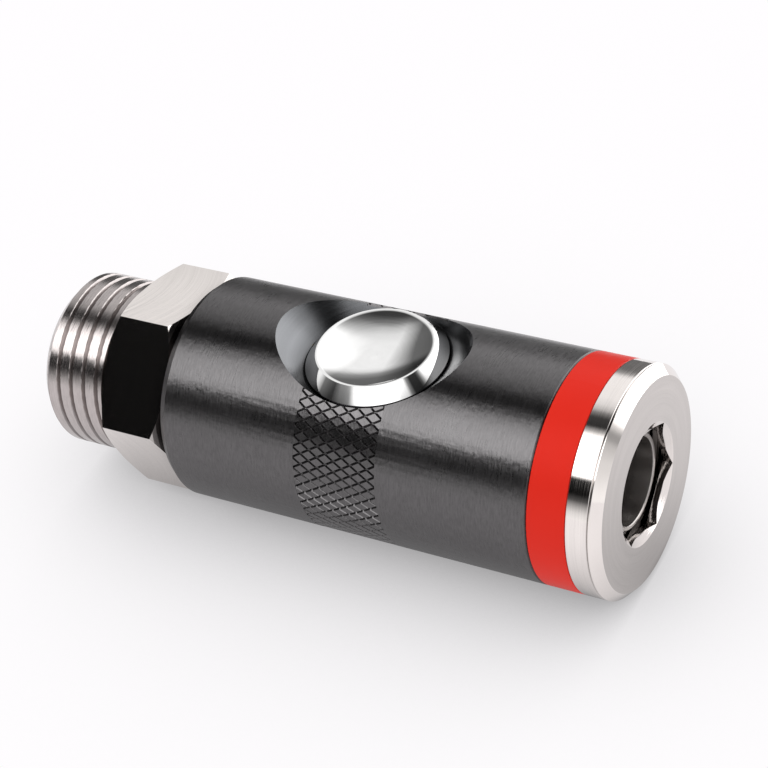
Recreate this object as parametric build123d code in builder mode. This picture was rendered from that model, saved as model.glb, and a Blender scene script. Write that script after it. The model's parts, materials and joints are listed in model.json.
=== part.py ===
from build123d import *
import math
import os

# Safety quick coupling with a push button, unlocked by pressing the button.
# X is the axis of the coupling, positive toward the mouth that takes the plug.
# Z is the button's direction. All sizes are in millimetres.

# Fits
run_gap = 0.05
seat_gap = 0.02

# Stations along X, measured from the front end of the thread's undercut
thread_end = -9.9
undercut_start = -0.6
hexagon_front = 8.6
sleeve_rear = 8.9
spigot_end = 18.6
bush_end = 24.0
cage_seat = 41.0
band_rear = 56.0
band_front = 60.5
mouth_face = 64.3

# Radii
body_radius = 13.25
band_seat_radius = body_radius - 0.75
thread_radius = 10.4775
thread_chamfer = 1.2
thread_pitch = 1.814
thread_turns = 4
thread_depth = 0.7
thread_root_width = 0.1
thread_mouth_width = 0.46
thread_lead = 2.61
undercut_radius = 9.1
undercut_slope = 0.4
hexagon_flats = 23.0
hexagon_turn = 50.6
hexagon_chamfer_radius = hexagon_flats / 2 + 0.1
spigot_radius = body_radius - 3.25
collar_radius = spigot_radius + 1.9
inlet_radius = 6.0
chamber_radius = spigot_radius - 2.4
chamber_start = 2.0
seal_groove_radius = spigot_radius - 1.46
seal_groove_at = 11.6
seal_groove_width = 1.9
arm_radius = spigot_radius - 2.1
guide_bore_radius = arm_radius + 2 * run_gap
front_bore_radius = body_radius - 2.65

# Sleeve edges
rear_edge_length = 1.0
rear_edge_radius = body_radius - 0.75
front_edge = 0.22
band_edge = 0.08

# Push button and its pocket
button_at = 32.4
button_stroke = 2.2
button_top = body_radius - 1.55
button_rim_radius = 6.8
button_rim_width = 0.28
button_dish_depth = 1.3
button_skirt_top = body_radius - 3.4
button_skirt_radius = 8.2
button_base = body_radius - 4.85
pocket_radius = button_skirt_radius + run_gap
pocket_floor = button_base - 3.8
pocket_cone_slope = 1.05

# Yoke under the button
yoke_radius = button_skirt_radius - 0.3
yoke_thickness = 1.2
leg_inner = 5.2
leg_thickness = 1.0
leg_width = 3.0
leg_bottom = -2.0
pin_radius = 0.74
pin_height = 1.1
pin_outer = arm_radius - 0.5
screw_radius = 0.9
screw_head_radius = 1.8
screw_top = button_base + 1.1

# Lock sleeve
lock_rear = 44.6
lock_flange = 3.0
lock_flange_radius = front_bore_radius - 0.2
lock_tube_radius = front_bore_radius - 1.3
lock_front = 60.6
arm_rear = 28.0
arm_inner = 6.3
arm_half_height = 3.0
slot_width = 1.6
wedge_slope = 0.295
wedge_rear = 56.8
wedge_front = 60.0
relief_rear = 54.8

# Balls and cage
ball_radius = 1.6
ball_at = 58.9
ball_centre_radius = 6.0
ball_angles = [-16.0, 74.0, 164.0, -106.0]
cage_tube_radius = 6.25
cage_front = 62.8
cage_lip_radius = 5.45
cage_lip_length = 1.4
cage_flange_radius = front_bore_radius - 0.1
cage_flange = 2.5
cage_step = 0.7
plug_radius = 5.05
plug_seal_pocket_radius = 5.9
plug_seal_length = 1.8
seal_retainer_length = 0.6
clip_width = 1.0
clip_inner = front_bore_radius - 1.2
clip_outer = front_bore_radius + 0.5
clip_opening = 5.0

# Front ring
ring_spigot_rear = 59.0
ring_chamber_radius = lock_tube_radius + 3 * run_gap
ring_wall = 1.2
ring_edge_length = 1.03
ring_edge_depth = 1.10
ring_groove_at = 62.95
ring_groove_width = 0.22
ring_groove_depth = 0.12
mouth_corner_radius = 7.0
mouth_turn = 38.5
mouth_sink = 0.5

# Valve
head_rear = 14.6
head_thickness = 3.0
head_radius = chamber_radius - 1.0
face_seal_thickness = 0.98
face_seal_radius = head_radius - 0.1
face_seal_taper = 0.4
tube_radius = 4.4
tube_bore = 3.4
tube_front = 46.0
port_radius = 1.3
port_at = 20.2
seat_thickness = 2.0
seat_bore = tube_radius + 1.1
retainer_thickness = 1.0
retainer_bore = 4.2
bush_groove_radius = tube_radius + 1.6
bush_groove_start = 21.5
bush_groove_end = 23.1
tube_seal_section = 0.78

# Springs
valve_spring_radius = chamber_radius - 2.0
valve_spring_wire = 0.45
valve_spring_turns = 5.0
lock_spring_radius = (lock_tube_radius + front_bore_radius) / 2
lock_spring_wire = 0.36
lock_spring_turns = 5.0

os.makedirs("parts", exist_ok=True)

pocket_mouth_radius = pocket_radius + (body_radius + 1.0 - button_skirt_top) * pocket_cone_slope

# Turned outer sleeve: stepped bore, band seat at the front, pocket for the button
with BuildPart() as outer_sleeve:
    with BuildSketch(Plane.XZ):
        with BuildLine():
            Polyline(
                (sleeve_rear, spigot_radius + seat_gap + 0.6),
                (sleeve_rear, rear_edge_radius),
                (sleeve_rear + rear_edge_length, body_radius),
                (band_rear - front_edge, body_radius),
                (band_rear, body_radius - front_edge),
                (band_rear, band_seat_radius),
                (band_front, band_seat_radius),
                (band_front, front_bore_radius),
                (cage_seat + cage_flange + clip_width, front_bore_radius),
                (cage_seat + cage_flange + clip_width, clip_outer + run_gap),
                (cage_seat + cage_flange, clip_outer + run_gap),
                (cage_seat + cage_flange, front_bore_radius),
                (cage_seat + cage_step, front_bore_radius),
                (cage_seat + cage_step, guide_bore_radius),
                (bush_end, guide_bore_radius),
                (bush_end, spigot_radius + seat_gap),
                (sleeve_rear + 0.6, spigot_radius + seat_gap),
                close=True,
            )
        make_face()
    revolve(axis=Axis.X)
    with BuildSketch(Plane.XY.offset(pocket_floor)):
        with Locations((button_at, 0)):
            Circle(pocket_radius)
    extrude(amount=button_skirt_top - pocket_floor + 0.5, mode=Mode.SUBTRACT)
    with BuildSketch(Plane.XY.offset(button_skirt_top)):
        with Locations((button_at, 0)):
            Circle(pocket_radius)
    with BuildSketch(Plane.XY.offset(body_radius + 1.0)):
        with Locations((button_at, 0)):
            Circle(pocket_mouth_radius)
    loft(mode=Mode.SUBTRACT)
outer_sleeve.part.label = "outer_sleeve"
export_step(outer_sleeve.part, "parts/outer_sleeve.step")

# Marking band, flush with the sleeve, seated on its front end
band_start = band_rear + seat_gap
band_end = band_front - seat_gap
with BuildPart() as marking_band:
    with BuildSketch(Plane.XZ):
        with BuildLine():
            Polyline(
                (band_start, band_seat_radius + seat_gap),
                (band_start, body_radius - band_edge),
                (band_start + band_edge, body_radius),
                (band_end - band_edge, body_radius),
                (band_end, body_radius - band_edge),
                (band_end, band_seat_radius + seat_gap),
                close=True,
            )
        make_face()
    revolve(axis=Axis.X)
marking_band.part.label = "marking_band"
export_step(marking_band.part, "parts/marking_band.step")

# Front ring: spigot in the sleeve, hexagonal mouth with a shallow countersink
with BuildPart() as front_ring:
    with BuildSketch(Plane.XZ):
        with BuildLine():
            Polyline(
                (ring_spigot_rear, ring_chamber_radius),
                (ring_spigot_rear, front_bore_radius - run_gap),
                (band_front, front_bore_radius - run_gap),
                (band_front, body_radius - 0.1),
                (band_front + 0.1, body_radius),
                (ring_groove_at, body_radius),
                (ring_groove_at + ring_groove_width / 2, body_radius - ring_groove_depth),
                (ring_groove_at + ring_groove_width, body_radius),
                (mouth_face - ring_edge_length, body_radius),
                (mouth_face, body_radius - ring_edge_depth),
                (mouth_face, 0),
                (mouth_face - ring_wall, 0),
                (mouth_face - ring_wall, ring_chamber_radius),
                close=True,
            )
        make_face()
    revolve(axis=Axis.X)
    with BuildSketch(Plane.YZ.offset(mouth_face - ring_wall - 0.5)):
        RegularPolygon(mouth_corner_radius, 6, rotation=mouth_turn)
    extrude(amount=ring_wall + 1.0, mode=Mode.SUBTRACT)
    with BuildSketch(Plane.YZ.offset(mouth_face - mouth_sink)):
        Circle(mouth_corner_radius - mouth_sink * math.tan(math.radians(60)) + 0.05)
    with BuildSketch(Plane.YZ.offset(mouth_face)):
        Circle(mouth_corner_radius + 0.05)
    loft(mode=Mode.SUBTRACT)
front_ring.part.label = "front_ring"
export_step(front_ring.part, "parts/front_ring.step")

# Adaptor: external thread, undercut, hexagon, spigot and spring chamber. The thread's turns are rings at
# its pitch, so that every crest is a full circle.
first_groove = thread_end + thread_lead
thread_grooves = [(first_groove + turn * thread_pitch, thread_radius) for turn in range(thread_turns)]
with BuildPart() as adaptor:
    with BuildSketch(Plane.XZ):
        with BuildLine():
            Polyline(
                (thread_end, inlet_radius + 0.4),
                (thread_end, thread_radius - thread_chamfer),
                (thread_end + thread_chamfer, thread_radius),
                (undercut_start - undercut_slope, thread_radius),
                (undercut_start, undercut_radius),
                (0, undercut_radius),
                (0, hexagon_flats),
                (hexagon_front, hexagon_flats),
                (hexagon_front, collar_radius),
                (sleeve_rear, collar_radius),
                (sleeve_rear, spigot_radius),
                (seal_groove_at - seal_groove_width / 2, spigot_radius),
                (seal_groove_at - seal_groove_width / 2, seal_groove_radius),
                (seal_groove_at + seal_groove_width / 2, seal_groove_radius),
                (seal_groove_at + seal_groove_width / 2, spigot_radius),
                (spigot_end - 0.3, spigot_radius),
                (spigot_end, spigot_radius - 0.3),
                (spigot_end, chamber_radius),
                (chamber_start, chamber_radius),
                (chamber_start, inlet_radius),
                (thread_end + 0.4, inlet_radius),
                close=True,
            )
        make_face()
        with Locations(*thread_grooves):
            Polygon(
                (-thread_mouth_width / 2, 0),
                (-thread_root_width / 2, -thread_depth),
                (thread_root_width / 2, -thread_depth),
                (thread_mouth_width / 2, 0),
                align=None,
                mode=Mode.SUBTRACT,
            )
    revolve(axis=Axis.X)
    # Six flats, then the turned chamfers on both ends of the hexagon
    with BuildSketch(Plane.YZ):
        Circle(hexagon_flats * 1.2)
        RegularPolygon(hexagon_flats / math.sqrt(3), 6, rotation=hexagon_turn, mode=Mode.SUBTRACT)
    extrude(amount=hexagon_front, mode=Mode.SUBTRACT)
    chamfer_rise = math.tan(math.radians(30))
    corner_radius = hexagon_flats / math.sqrt(3)
    chamfer_length = (corner_radius - hexagon_chamfer_radius) * chamfer_rise
    with BuildSketch(Plane.XZ):
        with BuildLine():
            Polyline(
                (0, hexagon_chamfer_radius),
                (chamfer_length * 1.5, hexagon_chamfer_radius + chamfer_length * 1.5 / chamfer_rise),
                (0, hexagon_chamfer_radius + chamfer_length * 1.5 / chamfer_rise),
                close=True,
            )
        make_face()
        with BuildLine():
            Polyline(
                (hexagon_front, hexagon_chamfer_radius),
                (hexagon_front, hexagon_chamfer_radius + chamfer_length * 1.5 / chamfer_rise),
                (
                    hexagon_front - chamfer_length * 1.5,
                    hexagon_chamfer_radius + chamfer_length * 1.5 / chamfer_rise,
                ),
                close=True,
            )
        make_face()
    revolve(axis=Axis.X, mode=Mode.SUBTRACT)
adaptor.part.label = "adaptor"
export_step(adaptor.part, "parts/adaptor.step")

# O-ring that seals the adaptor in the sleeve
adaptor_seal_section = (spigot_radius + seat_gap - seal_groove_radius) / 2
with BuildPart() as adaptor_seal:
    with BuildSketch(Plane.XZ):
        with Locations((seal_groove_at, seal_groove_radius + adaptor_seal_section)):
            RegularPolygon(adaptor_seal_section - 0.01, 8)
    revolve(axis=Axis.X)
adaptor_seal.part.label = "adaptor_seal"
export_step(adaptor_seal.part, "parts/adaptor_seal.step")

# Ring that carries the rear end of the valve spring
with BuildPart() as spring_retainer:
    with BuildSketch(Plane.YZ.offset(chamber_start)):
        Circle(chamber_radius - run_gap)
        Circle(retainer_bore, mode=Mode.SUBTRACT)
    extrude(amount=retainer_thickness)
spring_retainer.part.label = "spring_retainer"
export_step(spring_retainer.part, "parts/spring_retainer.step")

# Spring that shuts the valve
valve_spring_start = chamber_start + retainer_thickness
valve_spring_length = head_rear - valve_spring_start
with BuildPart() as valve_spring:
    with BuildLine() as valve_spring_line:
        Helix(
            (valve_spring_length - 2 * valve_spring_wire - 0.02) / valve_spring_turns,
            valve_spring_length - 2 * valve_spring_wire - 0.02,
            valve_spring_radius,
            center=(valve_spring_start + valve_spring_wire + 0.01, 0, 0),
            direction=(1, 0, 0),
        )
    with BuildSketch(Plane(origin=valve_spring_line.line @ 0, z_dir=valve_spring_line.line % 0)):
        RegularPolygon(valve_spring_wire, 8)
    sweep(is_frenet=True)
valve_spring.part.label = "valve_spring"
export_step(valve_spring.part, "parts/valve_spring.step")

# Valve disc with a stepped rear boss inside the spring
with BuildPart() as valve_head:
    with BuildSketch(Plane.XZ):
        with BuildLine():
            Polyline(
                (head_rear - 1.6, 0),
                (head_rear - 1.6, valve_spring_radius - 2.0),
                (head_rear, valve_spring_radius - 1.2),
                (head_rear, head_radius),
                (head_rear + head_thickness - 0.5, head_radius),
                (head_rear + head_thickness, head_radius - 0.5),
                (head_rear + head_thickness, 0),
                close=True,
            )
        make_face()
    revolve(axis=Axis.X)
valve_head.part.label = "valve_head"
export_step(valve_head.part, "parts/valve_head.step")

# Face seal on the valve disc
face_seal_start = head_rear + head_thickness
with BuildPart() as valve_seal:
    with BuildSketch(Plane.XZ):
        with BuildLine():
            Polyline(
                (face_seal_start, tube_radius + seat_gap),
                (face_seal_start, face_seal_radius),
                (face_seal_start + face_seal_thickness, face_seal_radius - face_seal_taper),
                (face_seal_start + face_seal_thickness, tube_radius + seat_gap),
                close=True,
            )
        make_face()
    revolve(axis=Axis.X)
valve_seal.part.label = "valve_seal"
export_step(valve_seal.part, "parts/valve_seal.step")

# Seat ring between the adaptor's spigot and the guide bush
with BuildPart() as valve_seat:
    with BuildSketch(Plane.YZ.offset(spigot_end)):
        Circle(spigot_radius)
        Circle(seat_bore, mode=Mode.SUBTRACT)
    extrude(amount=seat_thickness)
valve_seat.part.label = "valve_seat"
export_step(valve_seat.part, "parts/valve_seat.step")

# Guide bush with its seal groove
bush_start = spigot_end + seat_thickness
with BuildPart() as guide_bush:
    with BuildSketch(Plane.XZ):
        with BuildLine():
            Polyline(
                (bush_start, tube_radius + run_gap),
                (bush_start, spigot_radius),
                (bush_end, spigot_radius),
                (bush_end, tube_radius + run_gap),
                (bush_groove_end, tube_radius + run_gap),
                (bush_groove_end, bush_groove_radius),
                (bush_groove_start, bush_groove_radius),
                (bush_groove_start, tube_radius + run_gap),
                close=True,
            )
        make_face()
    revolve(axis=Axis.X)
guide_bush.part.label = "guide_bush"
export_step(guide_bush.part, "parts/guide_bush.step")

# O-ring in the bush
with BuildPart() as tube_seal:
    with BuildSketch(Plane.XZ):
        with Locations(((bush_groove_start + bush_groove_end) / 2, bush_groove_radius - 0.01 - tube_seal_section)):
            RegularPolygon(tube_seal_section, 8)
    revolve(axis=Axis.X)
tube_seal.part.label = "tube_seal"
export_step(tube_seal.part, "parts/tube_seal.step")

# Valve tube with four ports behind the seat
with BuildPart() as valve_tube:
    with BuildSketch(Plane.XZ):
        with BuildLine():
            Polyline(
                (face_seal_start, tube_bore),
                (face_seal_start, tube_radius),
                (tube_front - 0.3, tube_radius),
                (tube_front, tube_radius - 0.3),
                (tube_front, tube_bore + 0.2),
                (tube_front - 0.2, tube_bore),
                close=True,
            )
        make_face()
    revolve(axis=Axis.X)
    with BuildSketch(Plane.XY):
        with Locations((port_at, 0)):
            Circle(port_radius)
    extrude(amount=tube_radius + 1, both=True, mode=Mode.SUBTRACT)
    with BuildSketch(Plane.XZ):
        with Locations((port_at, 0)):
            Circle(port_radius)
    extrude(amount=tube_radius + 1, both=True, mode=Mode.SUBTRACT)
valve_tube.part.label = "valve_tube"
export_step(valve_tube.part, "parts/valve_tube.step")

# Push button: dished top, thin rim, flared skirt
dish_radius = button_rim_radius - button_rim_width
with BuildPart() as push_button:
    with BuildSketch(Plane.XZ.move(Location((button_at, 0, 0)))):
        with BuildLine():
            ThreePointArc(
                (0, button_top - button_dish_depth),
                (dish_radius * 0.55, button_top - button_dish_depth * (1 - 0.55 ** 2) - 0.02),
                (dish_radius, button_top),
            )
            Polyline(
                (dish_radius, button_top),
                (button_rim_radius, button_top),
                (button_skirt_radius, button_skirt_top),
                (button_skirt_radius, button_base),
                (screw_radius, button_base),
                (screw_radius, screw_top + 0.1),
                (0, screw_top + 0.1),
                (0, button_top - button_dish_depth),
            )
        make_face()
    revolve(axis=Axis((button_at, 0, 0), (0, 0, 1)))
push_button.part.label = "push_button"
export_step(push_button.part, "parts/push_button.step")

# Yoke: round plate and two legs that reach past the valve tube
yoke_bottom = button_base - yoke_thickness
with BuildPart() as button_yoke:
    with BuildSketch(Plane.XY.offset(yoke_bottom)):
        with Locations((button_at, 0)):
            Circle(yoke_radius)
    extrude(amount=yoke_thickness)
    with BuildSketch(Plane.XY.offset(leg_bottom)):
        with Locations((button_at, leg_inner + leg_thickness / 2), (button_at, -leg_inner - leg_thickness / 2)):
            Rectangle(leg_width, leg_thickness)
    extrude(amount=yoke_bottom - leg_bottom)
    with BuildSketch(Plane.XZ):
        with Locations((button_at, pin_height)):
            Circle(pin_radius + 0.01)
    extrude(amount=yoke_radius, both=True, mode=Mode.SUBTRACT)
    with BuildSketch(Plane.XZ.move(Location((button_at, 0, 0)))):
        with BuildLine():
            Polyline(
                (0, yoke_bottom - 0.2),
                (screw_head_radius + 0.3, yoke_bottom - 0.2),
                (screw_head_radius + 0.1, yoke_bottom),
                (screw_radius + 0.05, yoke_bottom + screw_head_radius - screw_radius + 0.05),
                (screw_radius + 0.05, button_base + 0.2),
                (0, button_base + 0.2),
                close=True,
            )
        make_face()
    revolve(axis=Axis((button_at, 0, 0), (0, 0, 1)), mode=Mode.SUBTRACT)
button_yoke.part.label = "button_yoke"
export_step(button_yoke.part, "parts/button_yoke.step")

# Countersunk screw through the yoke into the button
with BuildPart() as yoke_screw:
    with BuildSketch(Plane.XZ.move(Location((button_at, 0, 0)))):
        with BuildLine():
            Polyline(
                (0, yoke_bottom + 0.05),
                (screw_head_radius, yoke_bottom + 0.05),
                (screw_radius - 0.02, yoke_bottom + 0.05 + screw_head_radius - screw_radius),
                (screw_radius - 0.02, screw_top),
                (0, screw_top),
                close=True,
            )
        make_face()
    revolve(axis=Axis((button_at, 0, 0), (0, 0, 1)))
    with BuildSketch(Plane.XY.offset(yoke_bottom)):
        with Locations((button_at, 0)):
            Rectangle(2.4, 0.4)
    extrude(amount=0.45, mode=Mode.SUBTRACT)
yoke_screw.part.label = "yoke_screw"
export_step(yoke_screw.part, "parts/yoke_screw.step")

# Cross pins in the legs, one on each side
for side, name in ((1, "yoke_pin_left"), (-1, "yoke_pin_right")):
    with BuildPart() as yoke_pin:
        with BuildSketch(Plane.XZ.offset(-side * leg_inner)):
            with Locations((button_at, pin_height)):
                Circle(pin_radius)
        extrude(amount=-side * (pin_outer - leg_inner))
    yoke_pin.part.label = name
    export_step(yoke_pin.part, "parts/" + name + ".step")

# Lock sleeve: flange, tube with the ball wedge, two arms with slanted slots
wedge_radius = (
    ball_centre_radius
    + (ball_radius + run_gap) * math.sqrt(1 + wedge_slope ** 2)
)
wedge_rear_radius = wedge_radius + wedge_slope * (ball_at - wedge_rear)
wedge_front_radius = wedge_radius - wedge_slope * (wedge_front - ball_at)
lock_bore = cage_tube_radius + run_gap
with BuildPart() as lock_sleeve:
    with BuildSketch(Plane.XZ):
        with BuildLine():
            Polyline(
                (lock_rear, lock_bore),
                (lock_rear, lock_flange_radius - 0.3),
                (lock_rear + 0.3, lock_flange_radius),
                (lock_rear + lock_flange, lock_flange_radius),
                (lock_rear + lock_flange, lock_tube_radius),
                (lock_front - 0.3, lock_tube_radius),
                (lock_front, lock_tube_radius - 0.3),
                (lock_front, wedge_front_radius),
                (wedge_front, wedge_front_radius),
                (wedge_rear, wedge_rear_radius),
                (relief_rear, wedge_rear_radius),
                (relief_rear, lock_bore),
                close=True,
            )
        make_face()
    revolve(axis=Axis.X)
    with BuildSketch(Plane.YZ.offset(arm_rear)):
        Circle(arm_radius)
        Rectangle(arm_inner * 2, arm_radius * 3, mode=Mode.SUBTRACT)
        with Locations((0, arm_half_height + arm_radius), (0, -arm_half_height - arm_radius)):
            Rectangle(arm_radius * 3, arm_radius * 2, mode=Mode.SUBTRACT)
    extrude(amount=lock_rear - arm_rear)
    with BuildSketch(Plane.XZ):
        with Locations((button_at - button_stroke / 2, pin_height - button_stroke / 2)):
            SlotOverall(button_stroke * math.sqrt(2) + slot_width, slot_width, rotation=45)
    extrude(amount=arm_radius + 1, both=True, mode=Mode.SUBTRACT)
lock_sleeve.part.label = "lock_sleeve"
export_step(lock_sleeve.part, "parts/lock_sleeve.step")

# Spring between the lock sleeve's flange and the front ring
lock_spring_start = lock_rear + lock_flange
lock_spring_length = ring_spigot_rear - lock_spring_start
with BuildPart() as lock_spring:
    with BuildLine() as lock_spring_line:
        Helix(
            (lock_spring_length - 2 * lock_spring_wire - 0.02) / lock_spring_turns,
            lock_spring_length - 2 * lock_spring_wire - 0.02,
            lock_spring_radius,
            center=(lock_spring_start + lock_spring_wire + 0.01, 0, 0),
            direction=(1, 0, 0),
        )
    with BuildSketch(Plane(origin=lock_spring_line.line @ 0, z_dir=lock_spring_line.line % 0)):
        RegularPolygon(lock_spring_wire, 8)
    sweep(is_frenet=True)
lock_spring.part.label = "lock_spring"
export_step(lock_spring.part, "parts/lock_spring.step")

# Ball cage: flange with slots for the arms, socket tube, four ball holes
with BuildPart() as ball_cage:
    with BuildSketch(Plane.XZ):
        with BuildLine():
            Polyline(
                (cage_seat, plug_seal_pocket_radius),
                (cage_seat, guide_bore_radius - run_gap),
                (cage_seat + cage_step, guide_bore_radius - run_gap),
                (cage_seat + cage_step, cage_flange_radius),
                (cage_seat + cage_flange, cage_flange_radius),
                (cage_seat + cage_flange, cage_tube_radius),
                (cage_front - cage_lip_length, cage_tube_radius),
                (cage_front, cage_lip_radius),
                (cage_front, plug_radius + 0.1),
                (cage_front - 0.1, plug_radius),
                (cage_seat + seal_retainer_length + plug_seal_length, plug_radius),
                (cage_seat + seal_retainer_length + plug_seal_length, plug_seal_pocket_radius),
                close=True,
            )
        make_face()
    revolve(axis=Axis.X)
    with BuildSketch(Plane.YZ.offset(cage_seat)):
        Circle(arm_radius + 4 * run_gap)
        Rectangle(cage_tube_radius * 2, arm_radius * 3, mode=Mode.SUBTRACT)
        with Locations(
            (0, arm_half_height + 2 * run_gap + arm_radius),
            (0, -arm_half_height - 2 * run_gap - arm_radius),
        ):
            Rectangle(arm_radius * 3, arm_radius * 2, mode=Mode.SUBTRACT)
    extrude(amount=cage_flange, mode=Mode.SUBTRACT)
    for angle in ball_angles:
        turn = math.radians(angle)
        outward = (0, math.cos(turn), math.sin(turn))
        seat_radius = plug_radius + 0.55
        seat = Plane(
            origin=(ball_at, seat_radius * outward[1], seat_radius * outward[2]),
            x_dir=(1, 0, 0),
            z_dir=outward,
        )
        with BuildSketch(seat):
            Circle(ball_radius + run_gap)
        extrude(amount=2.0, mode=Mode.SUBTRACT)
        with BuildSketch(seat):
            Circle(ball_radius + run_gap)
        extrude(amount=-0.9, taper=24.4, mode=Mode.SUBTRACT)
ball_cage.part.label = "ball_cage"
export_step(ball_cage.part, "parts/ball_cage.step")

# Seal round the plug and the ring behind it
with BuildPart() as plug_seal:
    with BuildSketch(Plane.YZ.offset(cage_seat + seal_retainer_length + 0.01)):
        Circle(plug_seal_pocket_radius - run_gap)
        Circle(tube_radius + 2 * run_gap, mode=Mode.SUBTRACT)
    extrude(amount=plug_seal_length - 0.02)
plug_seal.part.label = "plug_seal"
export_step(plug_seal.part, "parts/plug_seal.step")

with BuildPart() as seal_retainer:
    with BuildSketch(Plane.YZ.offset(cage_seat)):
        Circle(plug_seal_pocket_radius - seat_gap)
        Circle(tube_radius + 3 * run_gap, mode=Mode.SUBTRACT)
    extrude(amount=seal_retainer_length)
seal_retainer.part.label = "seal_retainer"
export_step(seal_retainer.part, "parts/seal_retainer.step")

# Snap ring that keeps the cage in the sleeve
with BuildPart() as cage_circlip:
    with BuildSketch(Plane.YZ.offset(cage_seat + cage_flange + 0.02)):
        Circle(clip_outer)
        Circle(clip_inner, mode=Mode.SUBTRACT)
        with Locations((0, clip_outer)):
            Rectangle(clip_opening, clip_outer, mode=Mode.SUBTRACT)
    extrude(amount=clip_width - 0.04)
cage_circlip.part.label = "cage_circlip"
export_step(cage_circlip.part, "parts/cage_circlip.step")

# Four locking balls, each in its own hole of the cage
for number, angle in enumerate(ball_angles, start=1):
    turn = math.radians(angle)
    with BuildPart() as locking_ball:
        with Locations(
            (ball_at, ball_centre_radius * math.cos(turn), ball_centre_radius * math.sin(turn))
        ):
            Sphere(ball_radius)
    locking_ball.part.label = "locking_ball_" + str(number)
    export_step(locking_ball.part, "parts/locking_ball_" + str(number) + ".step")
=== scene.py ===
import json
import math

import bmesh
import bpy
from bpy.props import FloatProperty, FloatVectorProperty, IntProperty, PointerProperty
from mathutils import Matrix, Vector


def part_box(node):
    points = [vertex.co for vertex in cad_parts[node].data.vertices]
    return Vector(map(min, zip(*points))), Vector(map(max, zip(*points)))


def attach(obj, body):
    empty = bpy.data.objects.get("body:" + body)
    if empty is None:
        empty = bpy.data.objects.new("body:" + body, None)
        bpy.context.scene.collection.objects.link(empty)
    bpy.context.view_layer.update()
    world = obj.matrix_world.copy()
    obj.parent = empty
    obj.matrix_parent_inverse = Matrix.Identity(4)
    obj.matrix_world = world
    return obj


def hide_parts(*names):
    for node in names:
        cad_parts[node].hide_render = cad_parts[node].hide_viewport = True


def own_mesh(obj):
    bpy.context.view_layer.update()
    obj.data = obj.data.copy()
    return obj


bl_info = {
    "name": "Safety quick coupling",
    "version": (1, 0, 0),
    "blender": (4, 5, 0),
    "location": "View3D > Sidebar > Coupling",
    "description": "Turned quick coupling with a knurled sleeve, a push button and a pipe thread",
    "category": "Object",
}

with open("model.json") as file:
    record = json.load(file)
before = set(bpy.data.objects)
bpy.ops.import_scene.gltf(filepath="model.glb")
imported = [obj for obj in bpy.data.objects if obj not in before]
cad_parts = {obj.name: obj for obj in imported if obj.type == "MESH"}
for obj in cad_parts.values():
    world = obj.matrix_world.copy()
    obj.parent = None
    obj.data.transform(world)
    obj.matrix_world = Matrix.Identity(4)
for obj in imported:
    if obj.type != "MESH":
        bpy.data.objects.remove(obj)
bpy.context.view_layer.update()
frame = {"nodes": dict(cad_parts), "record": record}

MM = 0.001
BODY_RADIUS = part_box("outer_sleeve")[1][1]
FLOOR_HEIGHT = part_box("outer_sleeve")[0][2]
THREAD_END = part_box("adaptor")[0][0]
BUTTON_STATION = 32.4 * MM
VALVE_TRAVEL = 3.0 * MM
LOCK_TRAVEL = 2.2 * MM

# Partly a satin finish and partly painted shade: these inner parts get a darker steel than their record's
# finish.
SHADED_SATIN_PARTS = ("ball_cage", "lock_sleeve", "seal_retainer", "valve_tube")

TURNED_SEGMENTS = 256
KNURL_SEGMENTS = 512
THREAD_STEPS = 240
THREAD_PHASE = 0.2
RUN_OUT_LENGTH = 0.38 * MM
RUN_OUT_SLOPE = 3.4
DISH_STEPS = 28
BUTTON_SEGMENTS = 192

CAMERA_PLACE = (0.1453, -0.1562, 0.1661)
CAMERA_RIGHT = (0.8710, 0.4643, -0.1605)
CAMERA_BACK = (0.4503, -0.6239, 0.6385)
LAMP_PLACE = (0.10, 0.05, 0.40)
LAMP_TARGET = (0.027, 0, 0)

# Brightness that metal mirrors, by degrees about the coupling's axis from +Y toward +Z.
BAND_PEAK = 3.2
REAR_BANDS = (
    (0, 0.13), (12, 0.14), (19, 0.30), (24, 0.75), (28, 0.92), (57, 0.92), (66, 0.80), (72, 0.55),
    (76, 0.22), (81, 0.05), (91, 0.03), (96, 0.5), (100, 1.4), (108, 2.6), (114, 3.1), (138, 3.1),
    (140.5, 1.2), (142.5, 0.006), (157, 0.003), (163, 0.08), (169, 0.42), (175, 0.78), (182, 0.96),
    (270, 0.6), (330, 0.5), (338, 0.14), (350, 0.14),
)
MIDDLE_BANDS = (
    (0, 2.4), (12, 2.3), (22, 2.6), (40, 2.6), (50, 1.5), (60, 1.2), (66, 0.5), (72, 0.12), (78, 0.03),
    (96, 0.03), (103, 0.3), (108, 1.2), (118, 1.6), (124, 2.6), (140, 2.8), (147, 1.2), (153, 0.25),
    (162, 0.2), (171, 0.5), (180, 0.85), (300, 0.55), (318, 0.60), (328, 1.2), (345, 2.2),
)
FRONT_BANDS = (
    (0, 2.2), (5, 2.4), (12, 1.3), (22, 2.5), (40, 2.5), (50, 2.0), (57, 0.35), (63, 0.30), (74, 0.42),
    (82, 0.58), (95, 0.68), (111, 0.78), (125, 0.8), (145, 0.88), (176, 1.04), (200, 1.0), (300, 0.55),
    (318, 0.60), (328, 1.2), (345, 2.2),
)


# Settings


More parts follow.
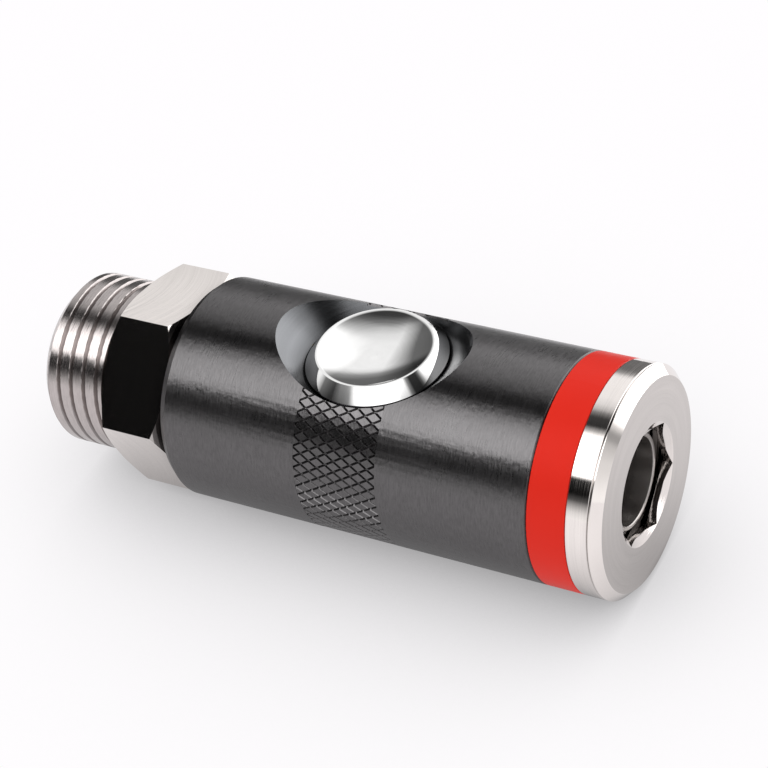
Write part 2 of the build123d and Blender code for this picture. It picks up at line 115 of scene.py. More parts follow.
class KnurlSettings(bpy.types.PropertyGroup):
    centre: FloatProperty(
        name="Centre", description="Station of the knurled band", default=BUTTON_STATION, unit="LENGTH"
    )
    half_width: FloatProperty(
        name="Half width", description="Half of the band's width", default=5.22 * MM, unit="LENGTH"
    )
    starts: IntProperty(name="Grooves", description="Grooves in each direction", default=64, min=8)
    cell_length: FloatProperty(
        name="Cell length",
        description="Length of a diamond along the axis",
        default=2.12 * MM,
        unit="LENGTH",
    )
    depth: FloatProperty(name="Depth", description="Depth of a groove", default=0.20 * MM, unit="LENGTH")
    groove: FloatProperty(
        name="Groove share",
        description="Half width of a groove in diamonds",
        default=0.12,
        min=0.02,
        max=0.4,
    )
    pocket_radius: FloatProperty(
        name="Pocket radius", description="Radius at the foot of the pocket", default=8.25 * MM, unit="LENGTH"
    )
    pocket_foot: FloatProperty(
        name="Pocket foot", description="Height of the pocket's foot", default=9.85 * MM, unit="LENGTH"
    )
    pocket_slope: FloatProperty(name="Pocket slope", description="Radius gained per height", default=1.05)


class ThreadSettings(bpy.types.PropertyGroup):
    length: FloatProperty(
        name="Length", description="From the end to the foot of the run-out", default=8.9 * MM, unit="LENGTH"
    )
    major_radius: FloatProperty(
        name="Outside radius", description="Radius of the crests", default=10.4775 * MM, unit="LENGTH"
    )
    core_radius: FloatProperty(
        name="Core radius", description="Radius of the core under the turns", default=9.05 * MM, unit="LENGTH"
    )
    pitch: FloatProperty(name="Pitch", description="Advance per turn", default=1.814 * MM, unit="LENGTH")
    depth: FloatProperty(name="Depth", description="Depth of the groove", default=0.50 * MM, unit="LENGTH")
    crest: FloatProperty(name="Crest", description="Share of the pitch that is crest", default=0.67)
    flank: FloatProperty(name="Flank", description="Share of the pitch that a flank takes", default=0.155)
    chamfer: FloatProperty(name="Chamfer", description="Chamfer of the end", default=1.2 * MM, unit="LENGTH")


class ButtonSettings(bpy.types.PropertyGroup):
    rim_radius: FloatProperty(
        name="Rim radius", description="Outer edge of the rim", default=6.8 * MM, unit="LENGTH"
    )
    rim_width: FloatProperty(
        name="Rim width", description="Width of the flat rim", default=0.22 * MM, unit="LENGTH"
    )
    dish_depth: FloatProperty(
        name="Dish depth", description="Depth of the dish", default=1.25 * MM, unit="LENGTH"
    )
    skirt_radius: FloatProperty(
        name="Skirt radius", description="Widest radius", default=8.2 * MM, unit="LENGTH"
    )
    skirt_drop: FloatProperty(
        name="Skirt drop",
        description="From the rim down to the skirt's edge",
        default=1.56 * MM,
        unit="LENGTH",
    )
    screw_radius: FloatProperty(
        name="Screw radius", description="Radius of the hole from below", default=0.9 * MM, unit="LENGTH"
    )
    screw_depth: FloatProperty(
        name="Screw depth", description="Depth of the hole from below", default=1.2 * MM, unit="LENGTH"
    )


class FinishSettings(bpy.types.PropertyGroup):
    sleeve: FloatVectorProperty(
        name="Sleeve", description="Dark plated sleeve", subtype="COLOR", default=(0.135, 0.130, 0.132)
    )
    pocket: FloatVectorProperty(
        name="Pocket",
        description="Plated wall of the button's pocket",
        subtype="COLOR",
        default=(0.150, 0.153, 0.160),
    )
    steel: FloatVectorProperty(
        name="Steel", description="Turned steel", subtype="COLOR", default=(0.90, 0.845, 0.815)
    )
    thread: FloatVectorProperty(
        name="Thread", description="Duller steel of the thread", subtype="COLOR", default=(0.52, 0.475, 0.465)
    )
    # Partly satin finish, partly painted shade: a darker steel for the parts deep in the mouth.
    shaded_satin: FloatVectorProperty(
        name="Satin", description="Satin steel inside the mouth", subtype="COLOR", default=(0.42, 0.395, 0.38)
    )
    chrome: FloatVectorProperty(
        name="Button", description="Polished button", subtype="COLOR", default=(0.93, 0.925, 0.92)
    )
    band: FloatVectorProperty(
        name="Band", description="Marking band", subtype="COLOR", default=(0.745, 0.0225, 0.0105)
    )
    brass: FloatVectorProperty(
        name="Brass", description="Inner brass parts", subtype="COLOR", default=(0.72, 0.52, 0.24)
    )
    rubber: FloatVectorProperty(
        name="Seals", description="Seal rubber", subtype="COLOR", default=(0.018, 0.018, 0.019)
    )


class StageSettings(bpy.types.PropertyGroup):
    floor_size: FloatProperty(
        name="Floor", description="Half size of the floor", default=0.6, unit="LENGTH"
    )
    floor_colour: FloatVectorProperty(
        name="Floor colour", description="Colour of the floor", subtype="COLOR", default=(1.0, 0.985, 1.0)
    )
    floor_back: FloatProperty(
        name="Floor back", description="Where the floor ends behind the coupling", default=0.07, unit="LENGTH"
    )
    lens: FloatProperty(name="Lens", description="Focal length in millimetres", default=103.71)


# Shader helpers


def node(tree, kind, inputs=None, **settings):
    made = tree.nodes.new(kind)
    for key, value in settings.items():
        setattr(made, key, value)
    for key, value in (inputs or {}).items():
        socket = made.inputs[key]
        if isinstance(value, bpy.types.NodeSocket):
            tree.links.new(value, socket)
        else:
            socket.default_value = value
    return made


def maths(tree, operation, first, second=0.0, third=0.0, clamp=False):
    made = node(tree, "ShaderNodeMath", {0: first, 1: second, 2: third}, operation=operation)
    made.use_clamp = clamp
    return made.outputs[0]


def ramp(tree, factor, stops):
    made = node(tree, "ShaderNodeValToRGB", {"Fac": factor})
    elements = made.color_ramp.elements
    elements.remove(elements[1])
    for place, value in stops:
        element = elements[0] if place == stops[0][0] else elements.new(place)
        element.position = place
        element.color = (value, value, value, 1.0) if isinstance(value, float) else (*value, 1.0)
    return made.outputs["Color"]


def group_with(name, inputs, outputs):
    tree = bpy.data.node_groups.new(name, "ShaderNodeTree")
    for label, kind in inputs:
        tree.interface.new_socket(label, in_out="INPUT", socket_type=kind)
    for label, kind in outputs:
        tree.interface.new_socket(label, in_out="OUTPUT", socket_type=kind)
    return tree, tree.nodes.new("NodeGroupInput").outputs, tree.nodes.new("NodeGroupOutput").inputs


def turning_marks_group():
    """Fine rings left by a lathe about the X axis of the given position in millimetres."""
    tree, given, result = group_with(
        "turning_marks",
        [("Position", "NodeSocketVector"), ("Rings", "NodeSocketFloat"), ("Arc", "NodeSocketFloat")],
        [("Fine", "NodeSocketFloat"), ("Broad", "NodeSocketFloat"), ("Smudge", "NodeSocketFloat")],
    )
    parts = node(tree, "ShaderNodeSeparateXYZ", {0: given["Position"]}).outputs
    radius = maths(tree, "SQRT", maths(
        tree, "MULTIPLY_ADD", parts["Y"], parts["Y"], maths(tree, "MULTIPLY", parts["Z"], parts["Z"])
    ))
    angle = maths(tree, "ARCTAN2", parts["Z"], parts["Y"])
    along = maths(tree, "ADD", parts["X"], radius)
    around = [
        maths(tree, "MULTIPLY", maths(tree, turn, angle), given["Arc"]) for turn in ("SINE", "COSINE")
    ]
    for label, share, detail in (("Fine", 1.0, 3.0), ("Broad", 0.17, 2.0)):
        place = node(
            tree,
            "ShaderNodeCombineXYZ",
            {"X": maths(tree, "MULTIPLY", maths(tree, "MULTIPLY", along, given["Rings"]), share),
             "Y": around[0], "Z": around[1]},
        ).outputs[0]
        noise = node(
            tree, "ShaderNodeTexNoise", {"Vector": place, "Scale": 1.0, "Detail": detail, "Roughness": 0.6}
        )
        tree.links.new(noise.outputs["Fac"], result[label])
    smudge = node(
        tree,
        "ShaderNodeTexNoise",
        {"Vector": given["Position"], "Scale": 0.16, "Detail": 4.0, "Roughness": 0.62, "Distortion": 0.4},
    )
    tree.links.new(smudge.outputs["Fac"], result["Smudge"])
    return tree


def position_mm(tree, axis):
    """Object position in millimetres, with the turning axis first."""
    place = node(tree, "ShaderNodeTexCoord").outputs["Object"]
    scaled = node(tree, "ShaderNodeVectorMath", {0: place, 3: 1000.0}, operation="SCALE").outputs[0]
    if axis == "coupling":
        return scaled
    parts = node(tree, "ShaderNodeSeparateXYZ", {0: scaled}).outputs
    return node(
        tree,
        "ShaderNodeCombineXYZ",
        {"X": parts["Z"], "Y": parts["Y"], "Z": maths(tree, "SUBTRACT", parts["X"], BUTTON_STATION / MM)},
    ).outputs[0]


def turned_metal(name, colour, roughness, rings=9.0, arc=0.9, marks=0.05, shade=0.12, drift=0.15,
                 axis="coupling", anisotropic=0.0, crevice_shade=0.75, face_shade=0.0):
    material = bpy.data.materials.new(name)
    material.use_nodes = True
    tree = material.node_tree
    shader = tree.nodes["Principled BSDF"]
    group = node(tree, "ShaderNodeGroup", node_tree=bpy.data.node_groups["turning_marks"])
    tree.links.new(position_mm(tree, axis), group.inputs["Position"])
    group.inputs["Rings"].default_value = rings
    group.inputs["Arc"].default_value = arc
    fine, broad, smudge = (group.outputs[key] for key in ("Fine", "Broad", "Smudge"))
    tone = maths(tree, "MULTIPLY_ADD", maths(tree, "SUBTRACT", broad, 0.5), drift, 1.0)
    tone = maths(tree, "MULTIPLY_ADD", maths(tree, "SUBTRACT", fine, 0.5), shade, tone)
    # Painted shade: ambient occlusion darkens the base colour in crevices, grooves and recesses.
    painted_crevice_shade = node(tree, "ShaderNodeAmbientOcclusion", {"Distance": 2.2 * MM}, samples=8).outputs["AO"]
    painted_crevice_shade = maths(tree, "MULTIPLY_ADD", maths(tree, "POWER", painted_crevice_shade, 1.6), crevice_shade, 1.0 - crevice_shade)
    tone = maths(tree, "MULTIPLY", tone, painted_crevice_shade)
    # Painted shade: faces that face along the axis, such as the ring's front face, get a darker base colour.
    facing = node(tree, "ShaderNodeSeparateXYZ", {0: node(tree, "ShaderNodeTexCoord").outputs["Normal"]})
    face_shade_mask = maths(tree, "POWER", maths(tree, "ABSOLUTE", facing.outputs["X"]), 12.0)
    tone = maths(tree, "MULTIPLY", tone, maths(tree, "MULTIPLY_ADD", face_shade_mask, -face_shade, 1.0))
    shaded = node(
        tree, "ShaderNodeVectorMath", {0: (*colour,), 3: tone}, operation="SCALE"
    ).outputs[0]
    tree.links.new(shaded, shader.inputs["Base Color"])
    rough = maths(tree, "MULTIPLY_ADD", maths(tree, "SUBTRACT", fine, 0.5), roughness * 0.5, roughness)
    rough = maths(
        tree, "MULTIPLY_ADD", maths(tree, "SUBTRACT", smudge, 0.5), roughness * 0.45, rough, clamp=True
    )
    tree.links.new(rough, shader.inputs["Roughness"])
    shader.inputs["Metallic"].default_value = 1.0
    height = maths(tree, "MULTIPLY_ADD", broad, 0.8, fine)
    bump = node(tree, "ShaderNodeBump", {"Height": height, "Strength": marks, "Distance": 0.0001})
    tree.links.new(bump.outputs[0], shader.inputs["Normal"])
    shader.inputs["Anisotropic"].default_value = anisotropic
    shader.inputs["Anisotropic Rotation"].default_value = 0.25
    if anisotropic:
        tangent = node(tree, "ShaderNodeTangent", direction_type="RADIAL", axis="X")
        tree.links.new(tangent.outputs[0], shader.inputs["Tangent"])
    return material


def moulded(name, colour, roughness, grain=0.03, specular=0.4):
    material = bpy.data.materials.new(name)
    material.use_nodes = True
    tree = material.node_tree
    shader = tree.nodes["Principled BSDF"]
    place = position_mm(tree, "coupling")
    fine = node(tree, "ShaderNodeTexNoise", {"Vector": place, "Scale": 6.0, "Detail": 4.0}).outputs["Fac"]
    wide = node(tree, "ShaderNodeTexNoise", {"Vector": place, "Scale": 0.25, "Detail": 3.0}).outputs["Fac"]
    tone = maths(tree, "MULTIPLY_ADD", maths(tree, "SUBTRACT", wide, 0.5), 0.08, 1.0)
    shaded = node(tree, "ShaderNodeVectorMath", {0: (*colour,), 3: tone}, operation="SCALE").outputs[0]
    tree.links.new(shaded, shader.inputs["Base Color"])
    rough = maths(tree, "MULTIPLY_ADD", maths(tree, "SUBTRACT", wide, 0.5), 0.2, roughness, clamp=True)
    tree.links.new(rough, shader.inputs["Roughness"])
    shader.inputs["Specular IOR Level"].default_value = specular
    bump = node(tree, "ShaderNodeBump", {"Height": fine, "Strength": grain, "Distance": 0.00004})
    tree.links.new(bump.outputs[0], shader.inputs["Normal"])
    return material


def wear(obj, *materials):
    obj.data.materials.clear()
    for material in materials:
        obj.data.materials.append(material)


# Mesh helpers


def mesh_object(name, bm, body, smooth=True):
    mesh = bpy.data.meshes.new(name)
    bmesh.ops.recalc_face_normals(bm, faces=bm.faces)
    bm.to_mesh(mesh)
    bm.free()
    obj = bpy.data.objects.new(name, mesh)
    bpy.context.scene.collection.objects.link(obj)
    for polygon in mesh.polygons:
        polygon.use_smooth = smooth
    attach(obj, body)
    return obj


def ring_tool(name, inner, outer, start, end, segments=TURNED_SEGMENTS):
    """A closed ring about X, used to cut a recess."""
    bm = bmesh.new()
    loops = []
    for x, radius in ((start, inner), (start, outer), (end, outer), (end, inner)):
        loops.append([
            bm.verts.new((
                x,
                radius * math.cos(math.tau * k / segments),
                radius * math.sin(math.tau * k / segments),
            ))
            for k in range(segments)
        ])
    for first, second in zip(loops, loops[1:] + loops[:1]):
        for k in range(segments):
            after = (k + 1) % segments
            bm.faces.new((first[k], first[after], second[after], second[k]))
    bmesh.ops.recalc_face_normals(bm, faces=bm.faces)
    mesh = bpy.data.meshes.new(name)
    bm.to_mesh(mesh)
    bm.free()
    tool = bpy.data.objects.new(name, mesh)
    bpy.context.scene.collection.objects.link(tool)
    return tool


def cut_copy(source, name, tool):
    """A copy of a CAD node's mesh with the tool's volume taken away."""
    copy = bpy.data.objects.new(name, frame["nodes"][source].data.copy())
    bpy.context.scene.collection.objects.link(copy)
    copy.matrix_world = frame["nodes"][source].matrix_world
    for attribute in [item.name for item in copy.data.attributes if "normal" in item.name]:
        copy.data.attributes.remove(copy.data.attributes[attribute])
    bm = bmesh.new()
    bm.from_mesh(copy.data)
    bmesh.ops.remove_doubles(bm, verts=bm.verts, dist=0.001 * MM)
    bmesh.ops.dissolve_limit(bm, angle_limit=math.radians(0.2), verts=bm.verts, edges=bm.edges)
    bm.to_mesh(copy.data)
    bm.free()
    cut = copy.modifiers.new("cut", "BOOLEAN")
    cut.operation = "DIFFERENCE"
    cut.solver = "EXACT"
    cut.object = tool
    made = bpy.data.meshes.new_from_object(copy.evaluated_get(bpy.context.evaluated_depsgraph_get()))
    copy.modifiers.clear()
    copy.data = made
    bpy.data.objects.remove(tool)
    return copy


def sharpen(obj, degrees=32.0):
    """Smooth shading with the edges above that angle kept sharp."""
    mesh = obj.data
    for polygon in mesh.polygons:
        polygon.use_smooth = True
    mesh.set_sharp_from_angle(angle=math.radians(degrees))


# Pieces


class COUPLING_OT_finishes(bpy.types.Operator):
    """Makes the materials and puts them on the parts"""

    bl_idname = "coupling.finishes"
    bl_label = "Finishes"

    def execute(self, context):
        turning_marks_group()
        finish = context.scene.coupling_finish
        made = {
            "sleeve_metal": turned_metal(
                "finish sleeve_metal", finish.sleeve, 0.30, rings=5.5, arc=13.0, marks=0.25, shade=0.75,
                drift=0.10, anisotropic=0.85,
            ),
            "knurl_metal": turned_metal(
                "finish knurl_metal", finish.sleeve, 0.24, rings=5.5, arc=13.0, marks=0.15, shade=0.55,
                drift=0.10, anisotropic=0.6, crevice_shade=0.25,
            ),
            "pocket_metal": turned_metal(
                "finish pocket_metal", finish.pocket, 0.22, rings=5.0, arc=0.6, marks=0.08, shade=0.12,
                axis="button",
            ),
            # Bright steel with painted shade on the faces that face along the axis.
            "bright_steel": turned_metal(
                "finish bright_steel", finish.steel, 0.055, rings=6.0, arc=0.9, marks=0.09, shade=0.16,
                face_shade=0.30,
            ),
            "thread_steel": turned_metal(
                "finish thread_steel", finish.thread, 0.19, rings=5.0, arc=5.0, marks=0.20, shade=0.30,
                drift=0.25, crevice_shade=0.40,
            ),
            "button_chrome": turned_metal(
                "finish button_chrome", finish.chrome, 0.03, rings=3.0, arc=0.4, marks=0.015, shade=0.03,
                axis="button",
            ),
            # Partly satin finish, partly painted shade: darker steel for the parts inside the mouth.
            "satin_steel": turned_metal(
                "finish satin_steel", finish.shaded_satin, 0.34, rings=3.0, arc=0.4, marks=0.02, shade=0.06
            ),
            "red_band": moulded("finish red_band", finish.band, 0.35, specular=0.12),
            "brass_parts": turned_metal("finish brass_parts", finish.brass, 0.22, rings=5.0, marks=0.10),
            "seal_rubber": moulded("finish seal_rubber", finish.rubber, 0.55, grain=0.2),
            "spring_steel": turned_metal(
                "finish spring_steel", (0.52, 0.51, 0.50), 0.24, rings=2.0, marks=0.05
            ),
            "ball_steel": turned_metal(
                "finish ball_steel", (0.86, 0.85, 0.84), 0.05, rings=1.0, marks=0.01, shade=0.02
            ),
        }
        slots = {row["node"]: row["material_slot"] for row in frame["record"]["subparts"]}
        for name, part in frame["nodes"].items():
            wear(part, made["satin_steel" if name in SHADED_SATIN_PARTS else slots[name]])
            sharpen(part)
        return {"FINISHED"}


class COUPLING_OT_thread(bpy.types.Operator):
    """Puts the helical turns of the pipe thread on the adaptor"""

    bl_idname = "coupling.thread"
    bl_label = "Threaded adaptor"

    def execute(self, context):
        size = context.scene.coupling_thread
        end = THREAD_END + size.length
        last = end + RUN_OUT_LENGTH
        tool = ring_tool("thread_cut", size.core_radius, size.major_radius * 1.2, THREAD_END - MM, last)
        adaptor = cut_copy("adaptor", "adaptor_core", tool)
        wear(adaptor, bpy.data.materials["finish bright_steel"])
        sharpen(adaptor)
        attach(adaptor, "coupling_body")
        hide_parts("adaptor")

        segments, steps = TURNED_SEGMENTS, THREAD_STEPS
        bm = bmesh.new()
        rows = []
        for i in range(steps + 1):
            x = THREAD_END + (last - THREAD_END) * i / steps
            row = []
            for k in range(segments):
                turn = math.tau * k / segments
                phase = ((x - THREAD_END) / size.pitch - k / segments - THREAD_PHASE) % 1.0
                into = max(0.0, min(phase - size.crest, 1.0 - phase) / size.flank)
                radius = size.major_radius - size.depth * min(1.0, into)
                lead = size.major_radius - size.chamfer + (x - THREAD_END)
                run_out = size.major_radius + (end - x) * RUN_OUT_SLOPE
                radius = max(size.core_radius + 0.02 * MM, min(radius, lead, run_out))
                row.append(bm.verts.new((x, radius * math.cos(turn), radius * math.sin(turn))))
            rows.append(row)
        for x in (last, THREAD_END):
            rows.append([
                bm.verts.new((
                    x,
                    size.core_radius * math.cos(math.tau * k / segments),
                    size.core_radius * math.sin(math.tau * k / segments),
                ))
                for k in range(segments)
            ])
        for first, second in zip(rows, rows[1:] + rows[:1]):
            for k in range(segments):
                after = (k + 1) % segments
                bm.faces.new((first[k], second[k], second[after], first[after]))
        thread = mesh_object("thread_turns", bm, "coupling_body")
        wear(thread, bpy.data.materials["finish thread_steel"])
        sharpen(thread, 24.0)
        return {"FINISHED"}


class COUPLING_OT_button(bpy.types.Operator):
    """Turns the dished push button"""

    bl_idname = "coupling.button"
    bl_label = "Push button"

    def execute(self, context):
        size = context.scene.coupling_button
        low, high = (Vector(corner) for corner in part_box("push_button"))
        centre, top, base = (low.x + high.x) / 2, high.z, low.z
        dish = size.rim_radius - size.rim_width
        profile = [(0.0, base + size.screw_depth), (size.screw_radius, base + size.screw_depth)]
        profile += [(size.screw_radius, base), (size.skirt_radius, base)]
        profile += [(size.skirt_radius, top - size.skirt_drop), (size.rim_radius, top)]
        for i in range(DISH_STEPS):
            share = 1 - i / DISH_STEPS
            profile.append((dish * share, top - size.dish_depth * (1 - share ** 2)))
        profile.append((0.0, top - size.dish_depth))
        segments = BUTTON_SEGMENTS
        bm = bmesh.new()
        rows = []
        for radius, z in profile:
            if radius == 0.0:
                rows.append([bm.verts.new((centre, 0.0, z))] * segments)
                continue
            rows.append([
                bm.verts.new((
                    centre + radius * math.cos(math.tau * k / segments),
                    radius * math.sin(math.tau * k / segments),
                    z,
                ))
                for k in range(segments)
            ])
        for first, second in zip(rows, rows[1:]):
            for k in range(segments):
                after = (k + 1) % segments
                corners = (first[k], first[after], second[after], second[k])
                bm.faces.new(tuple(dict.fromkeys(corners)))
        button = mesh_object("button_cap", bm, "button")
        wear(button, bpy.data.materials["finish button_chrome"])
        sharpen(button, 24.0)
        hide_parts("push_button")
        return {"FINISHED"}


class COUPLING_OT_springs(bpy.types.Operator):
    """Copies the coil springs onto the coupling body in place of the CAD springs"""

    bl_idname = "coupling.springs"
    bl_label = "Springs"

    def execute(self, context):
        for name, joint, travel, fixed in (
            ("valve", "valve_slide", VALVE_TRAVEL, 0), ("lock", "lock_slide", LOCK_TRAVEL, 1)
        ):
            source = frame["nodes"][f"{name}_spring"]
            coil = bpy.data.objects.new(f"{name}_coil", source.data.copy())
            context.scene.collection.objects.link(coil)
            coil.matrix_world = source.matrix_world
            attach(coil, "coupling_body")
            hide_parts(f"{name}_spring")
            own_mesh(coil)
        return {"FINISHED"}


class COUPLING_OT_knurl(bpy.types.Operator):
    """Cuts the knurled band into the sleeve round the button's pocket"""

    bl_idname = "coupling.knurl"
    bl_label = "Knurled sleeve"

    def execute(self, context):
        size = context.scene.coupling_knurl
        floor = BODY_RADIUS - size.depth - 0.06 * MM
        tool = ring_tool(
            "knurl_cut",
            floor,
            BODY_RADIUS + 2 * MM,
            size.centre - size.half_width,
            size.centre + size.half_width,
            KNURL_SEGMENTS,
        )
        sleeve = cut_copy("outer_sleeve", "sleeve_core", tool)
        wear(sleeve, bpy.data.materials["finish sleeve_metal"], bpy.data.materials["finish pocket_metal"])

        def on_pocket(index):
            x, y, z = sleeve.data.vertices[index].co
            wall = size.pocket_radius + max(0.0, z - size.pocket_foot) * size.pocket_slope
            return z > 4.0 * MM and abs(math.hypot(x - size.centre, y) - wall) < 0.08 * MM

        for polygon in sleeve.data.polygons:
            if all(on_pocket(index) for index in polygon.vertices):
                polygon.material_index = 1
        sharpen(sleeve)
        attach(sleeve, "coupling_body")
        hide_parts("outer_sleeve")

        bm = bmesh.new()
        known = {}

        def corner(u, v, depth):
            key = (round((u + v) % (2 * size.starts), 4), round(u - v, 4))
            if key not in known:
                turn = (u + v) * math.pi / size.starts
                radius = BODY_RADIUS - depth
                known[key] = bm.verts.new((
                    size.centre + (u - v) * 0.5 * size.cell_length,
                    radius * math.cos(turn),
                    radius * math.sin(turn),
                ))
            return known[key]

        marks = ((0.0, 1.0), (size.groove, 0.0), (1.0 - size.groove, 0.0), (1.0, 1.0))
        reach = math.ceil(2 * size.half_width / size.cell_length) + 1
        for across in range(-reach, reach + 1):
            for total in range(2 * size.starts):
                if (across + total) % 2:
                    continue
                i, j = (total + across) // 2, (total - across) // 2
                grid = [
                    [corner(i + a, j + b, size.depth * max(da, db)) for b, db in marks] for a, da in marks
                ]
                for a in range(3):
                    for b in range(3):
                        face = (grid[a][b], grid[a + 1][b], grid[a + 1][b + 1], grid[a][b + 1])
                        bm.faces.new(face)
        for side in (-1, 1):
            bmesh.ops.bisect_plane(
                bm,
                geom=bm.verts[:] + bm.edges[:] + bm.faces[:],
                plane_co=(size.centre + side * size.half_width, 0, 0),
                plane_no=(side, 0, 0),
                clear_outer=True,
            )

        def inside(place):
            if place.z < 0:
                return -1.0
            wall = size.pocket_radius + (place.z - size.pocket_foot) * size.pocket_slope
            return wall - math.hypot(place.x - size.centre, place.y)

        value = {vert: inside(vert.co) for vert in bm.verts}
        border = set()
        for edge in list(bm.edges):
            first, second = edge.verts
            if value[first] * value[second] >= 0:
                continue
            low, high = 0.0, 1.0
            for _ in range(24):
                middle = (low + high) / 2
                if inside(first.co.lerp(second.co, middle)) * value[first] > 0:
                    low = middle
                else:
                    high = middle
            _, made = bmesh.utils.edge_split(edge, first, low)
            value[made] = 0.0
            border.add(made)
        for face in list(bm.faces):
            cuts = [vert for vert in face.verts if vert in border]
            if len(cuts) == 2:
                bmesh.utils.face_split(face, cuts[0], cuts[1])
        gone = [
            face for face in bm.faces
            if sum(value[vert] for vert in face.verts) > 1e-9
        ]
        bmesh.ops.delete(bm, geom=gone, context="FACES")

        rims = [edge for edge in bm.edges if edge.is_boundary]
        made = bmesh.ops.extrude_edge_only(bm, edges=rims)
        for vert in [item for item in made["geom"] if isinstance(item, bmesh.types.BMVert)]:
            x, y, z = vert.co
            from_end = abs(abs(x - size.centre) - size.half_width)
            if from_end < 0.01 * MM and inside(vert.co) < -0.01 * MM:
                scale = floor / math.hypot(y, z)
                vert.co = (x, y * scale, z * scale)
                continue
            reach_now = math.hypot(x - size.centre, y)
            drop = 0.0
            for _ in range(12):
                shrunk = (reach_now - drop * size.pocket_slope) / reach_now
                error = math.hypot(y * shrunk, z - drop) - floor
                drop += error * 0.7
            vert.co = (size.centre + (x - size.centre) * shrunk, y * shrunk, z - drop)
        knurl = mesh_object("knurled_band", bm, "coupling_body", smooth=False)
        wear(knurl, bpy.data.materials["finish knurl_metal"])
        return {"FINISHED"}


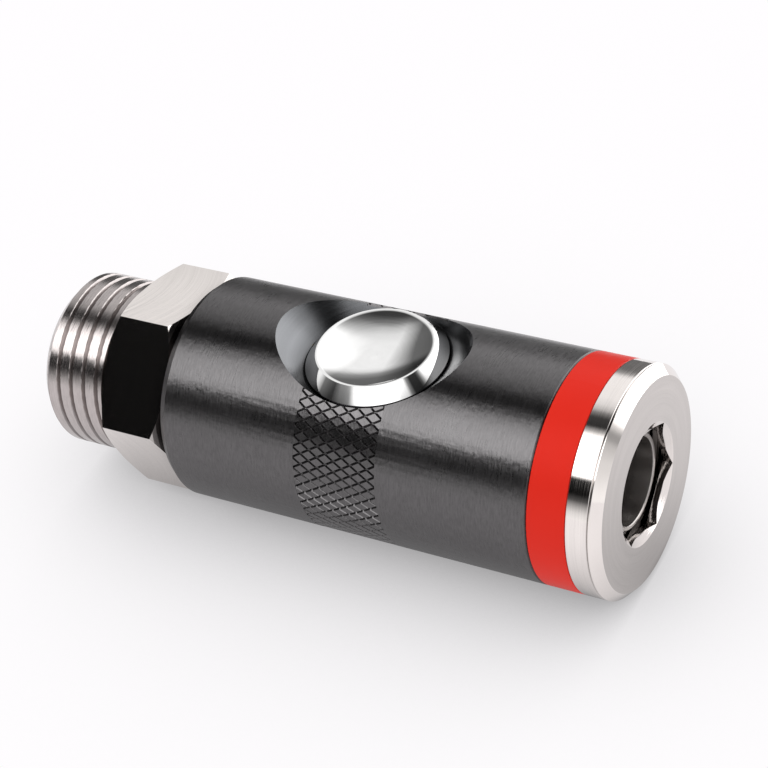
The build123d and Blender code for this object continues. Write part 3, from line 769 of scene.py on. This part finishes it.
class COUPLING_OT_stage(bpy.types.Operator):
    """Sets the floor, the surroundings, the lights and the camera"""

    bl_idname = "coupling.stage"
    bl_label = "Stage"

    def execute(self, context):
        scene = context.scene
        stage = scene.coupling_stage
        half = stage.floor_size
        bm = bmesh.new()
        corners = ((-half, -half), (half, -half), (half, stage.floor_back), (-half, stage.floor_back))
        bm.faces.new([bm.verts.new((x, y, FLOOR_HEIGHT)) for x, y in corners])
        mesh = bpy.data.meshes.new("floor")
        bm.to_mesh(mesh)
        bm.free()
        floor = bpy.data.objects.new("floor", mesh)
        scene.collection.objects.link(floor)
        material = bpy.data.materials.new("floor_paper")
        material.use_nodes = True
        tree = material.node_tree
        tree.nodes.clear()
        place = node(tree, "ShaderNodeTexCoord").outputs["Object"]
        grain = node(tree, "ShaderNodeTexNoise", {"Vector": place, "Scale": 900.0, "Detail": 2.0})
        tone = maths(tree, "MULTIPLY_ADD", maths(tree, "SUBTRACT", grain.outputs["Fac"], 0.5), 0.006, 1.0)
        # Painted shadow: ambient occlusion darkens the floor's glow near the coupling, and glossy rays see a
        # deeper painted shadow.
        near = node(tree, "ShaderNodeAmbientOcclusion", {"Distance": 0.055}, samples=24)
        shadow = ramp(
            tree, near.outputs["AO"], [(0.0, 0.22), (0.35, 0.56), (0.7, 0.84), (0.88, 0.96), (0.96, 1.0)]
        )
        reflected_shadow = ramp(
            tree, near.outputs["AO"], [(0.0, 0.05), (0.35, 0.34), (0.7, 0.66), (0.88, 0.84), (0.97, 0.93)]
        )
        mirrored = node(tree, "ShaderNodeLightPath").outputs["Is Glossy Ray"]
        choice = node(tree, "ShaderNodeMix", {"Factor": mirrored}, data_type="RGBA")
        tree.links.new(shadow, choice.inputs[6])
        tree.links.new(reflected_shadow, choice.inputs[7])
        shadow = choice.outputs[2]
        paper = node(
            tree, "ShaderNodeVectorMath", {0: (*stage.floor_colour,), 3: tone}, operation="SCALE"
        ).outputs[0]
        paper = node(tree, "ShaderNodeVectorMath", {0: paper, 1: shadow}, operation="MULTIPLY").outputs[0]
        glow = node(tree, "ShaderNodeEmission", {"Color": paper, "Strength": 1.0})
        node(tree, "ShaderNodeOutputMaterial", {"Surface": glow.outputs[0]})
        wear(floor, material)

        world = bpy.data.worlds.new("surroundings")
        scene.world = world
        world.use_nodes = True
        tree = world.node_tree
        tree.nodes.clear()
        way = node(tree, "ShaderNodeTexCoord").outputs["Generated"]
        parts = node(tree, "ShaderNodeSeparateXYZ", {0: way}).outputs
        turn = maths(tree, "ARCTAN2", parts["Z"], parts["Y"])
        turn = maths(tree, "DIVIDE", turn, math.tau)
        turn = maths(tree, "FRACT", maths(tree, "ADD", turn, 1.0))

        def part_way(start, end):
            scale = 1.0 / (end - start)
            return maths(tree, "MULTIPLY_ADD", parts["X"], scale, -start * scale, clamp=True)

        bands = None
        for stops, share in (
            (REAR_BANDS, None),
            (MIDDLE_BANDS, part_way(-0.35, 0.10)),
            (FRONT_BANDS, part_way(0.82, 0.92)),
        ):
            shade = ramp(tree, turn, [(angle / 360.0, value / BAND_PEAK) for angle, value in stops])
            if share is not None:
                mixed = node(tree, "ShaderNodeMix", {0: share}, data_type="RGBA")
                tree.links.new(bands, mixed.inputs[6])
                tree.links.new(shade, mixed.inputs[7])
                shade = mixed.outputs[2]
            bands = shade
        behind = ramp(
            tree, maths(tree, "MULTIPLY", parts["X"], -1.0),
            [(0.0, BAND_PEAK), (0.56, BAND_PEAK), (0.70, 0.5), (0.90, 0.2), (0.97, 1.0)],
        )
        bands = node(tree, "ShaderNodeVectorMath", {0: bands, 1: behind}, operation="MULTIPLY").outputs[0]
        ray = node(tree, "ShaderNodeLightPath").outputs
        soft = node(tree, "ShaderNodeMix", {"Factor": ray["Is Glossy Ray"]}, data_type="RGBA")
        soft.inputs[6].default_value = (0.85, 0.84, 0.85, 1.0)
        tree.links.new(bands, soft.inputs[7])
        back = node(tree, "ShaderNodeMix", {"Factor": ray["Is Camera Ray"]}, data_type="RGBA")
        tree.links.new(soft.outputs[2], back.inputs[6])
        back.inputs[7].default_value = (1.0, 0.985, 1.0, 1.0)
        light = node(tree, "ShaderNodeBackground", {"Color": back.outputs[2], "Strength": 1.0})
        node(tree, "ShaderNodeOutputWorld", {"Surface": light.outputs[0]})

        lamp = bpy.data.lights.new("overhead", "AREA")
        lamp.energy = 0.35
        lamp.size = 0.25
        over = bpy.data.objects.new("overhead", lamp)
        over.location = LAMP_PLACE
        aim = Vector(LAMP_TARGET) - over.location
        over.rotation_euler = aim.to_track_quat("-Z", "Y").to_euler()
        over.visible_glossy = False
        scene.collection.objects.link(over)

        view = bpy.data.cameras.new("camera")
        view.lens = stage.lens
        view.sensor_width = 36.0
        view.clip_start = 0.01
        camera = bpy.data.objects.new("camera", view)
        right = Vector(CAMERA_RIGHT).normalized()
        back = Vector(CAMERA_BACK).normalized()
        upward = back.cross(right).normalized()
        right = upward.cross(back).normalized()
        turned = Matrix((right, upward, back)).transposed().to_4x4()
        camera.matrix_world = Matrix.Translation(CAMERA_PLACE) @ turned
        scene.collection.objects.link(camera)
        scene.camera = camera

        scene.view_settings.view_transform = "Standard"
        return {"FINISHED"}


class COUPLING_PT_panel(bpy.types.Panel):
    bl_idname = "COUPLING_PT_panel"
    bl_label = "Quick coupling"
    bl_space_type = "VIEW_3D"
    bl_region_type = "UI"
    bl_category = "Coupling"

    def draw(self, context):
        for _, operator in STEPS:
            self.layout.operator(operator.bl_idname)
        for name, kind in SETTINGS.items():
            box = self.layout.box()
            box.label(text=kind.__name__)
            for key in kind.__annotations__:
                box.prop(getattr(context.scene, name), key)


SETTINGS = {
    "coupling_thread": ThreadSettings,
    "coupling_button": ButtonSettings,
    "coupling_knurl": KnurlSettings,
    "coupling_finish": FinishSettings,
    "coupling_stage": StageSettings,
}
STEPS = (
    ("finishes", COUPLING_OT_finishes),
    ("thread", COUPLING_OT_thread),
    ("button", COUPLING_OT_button),
    ("springs", COUPLING_OT_springs),
    ("knurl", COUPLING_OT_knurl),
    ("stage", COUPLING_OT_stage),
)


def register():
    for kind in (*SETTINGS.values(), *(step[1] for step in STEPS), COUPLING_PT_panel):
        bpy.utils.register_class(kind)
    for name, kind in SETTINGS.items():
        setattr(bpy.types.Scene, name, PointerProperty(type=kind))


def unregister():
    for name in SETTINGS:
        delattr(bpy.types.Scene, name)
    for kind in (*SETTINGS.values(), *(step[1] for step in STEPS), COUPLING_PT_panel):
        bpy.utils.unregister_class(kind)


def main():
    register()
    for name, _ in STEPS:
        getattr(bpy.ops.coupling, name)()


if __name__ == "__main__":
    main()
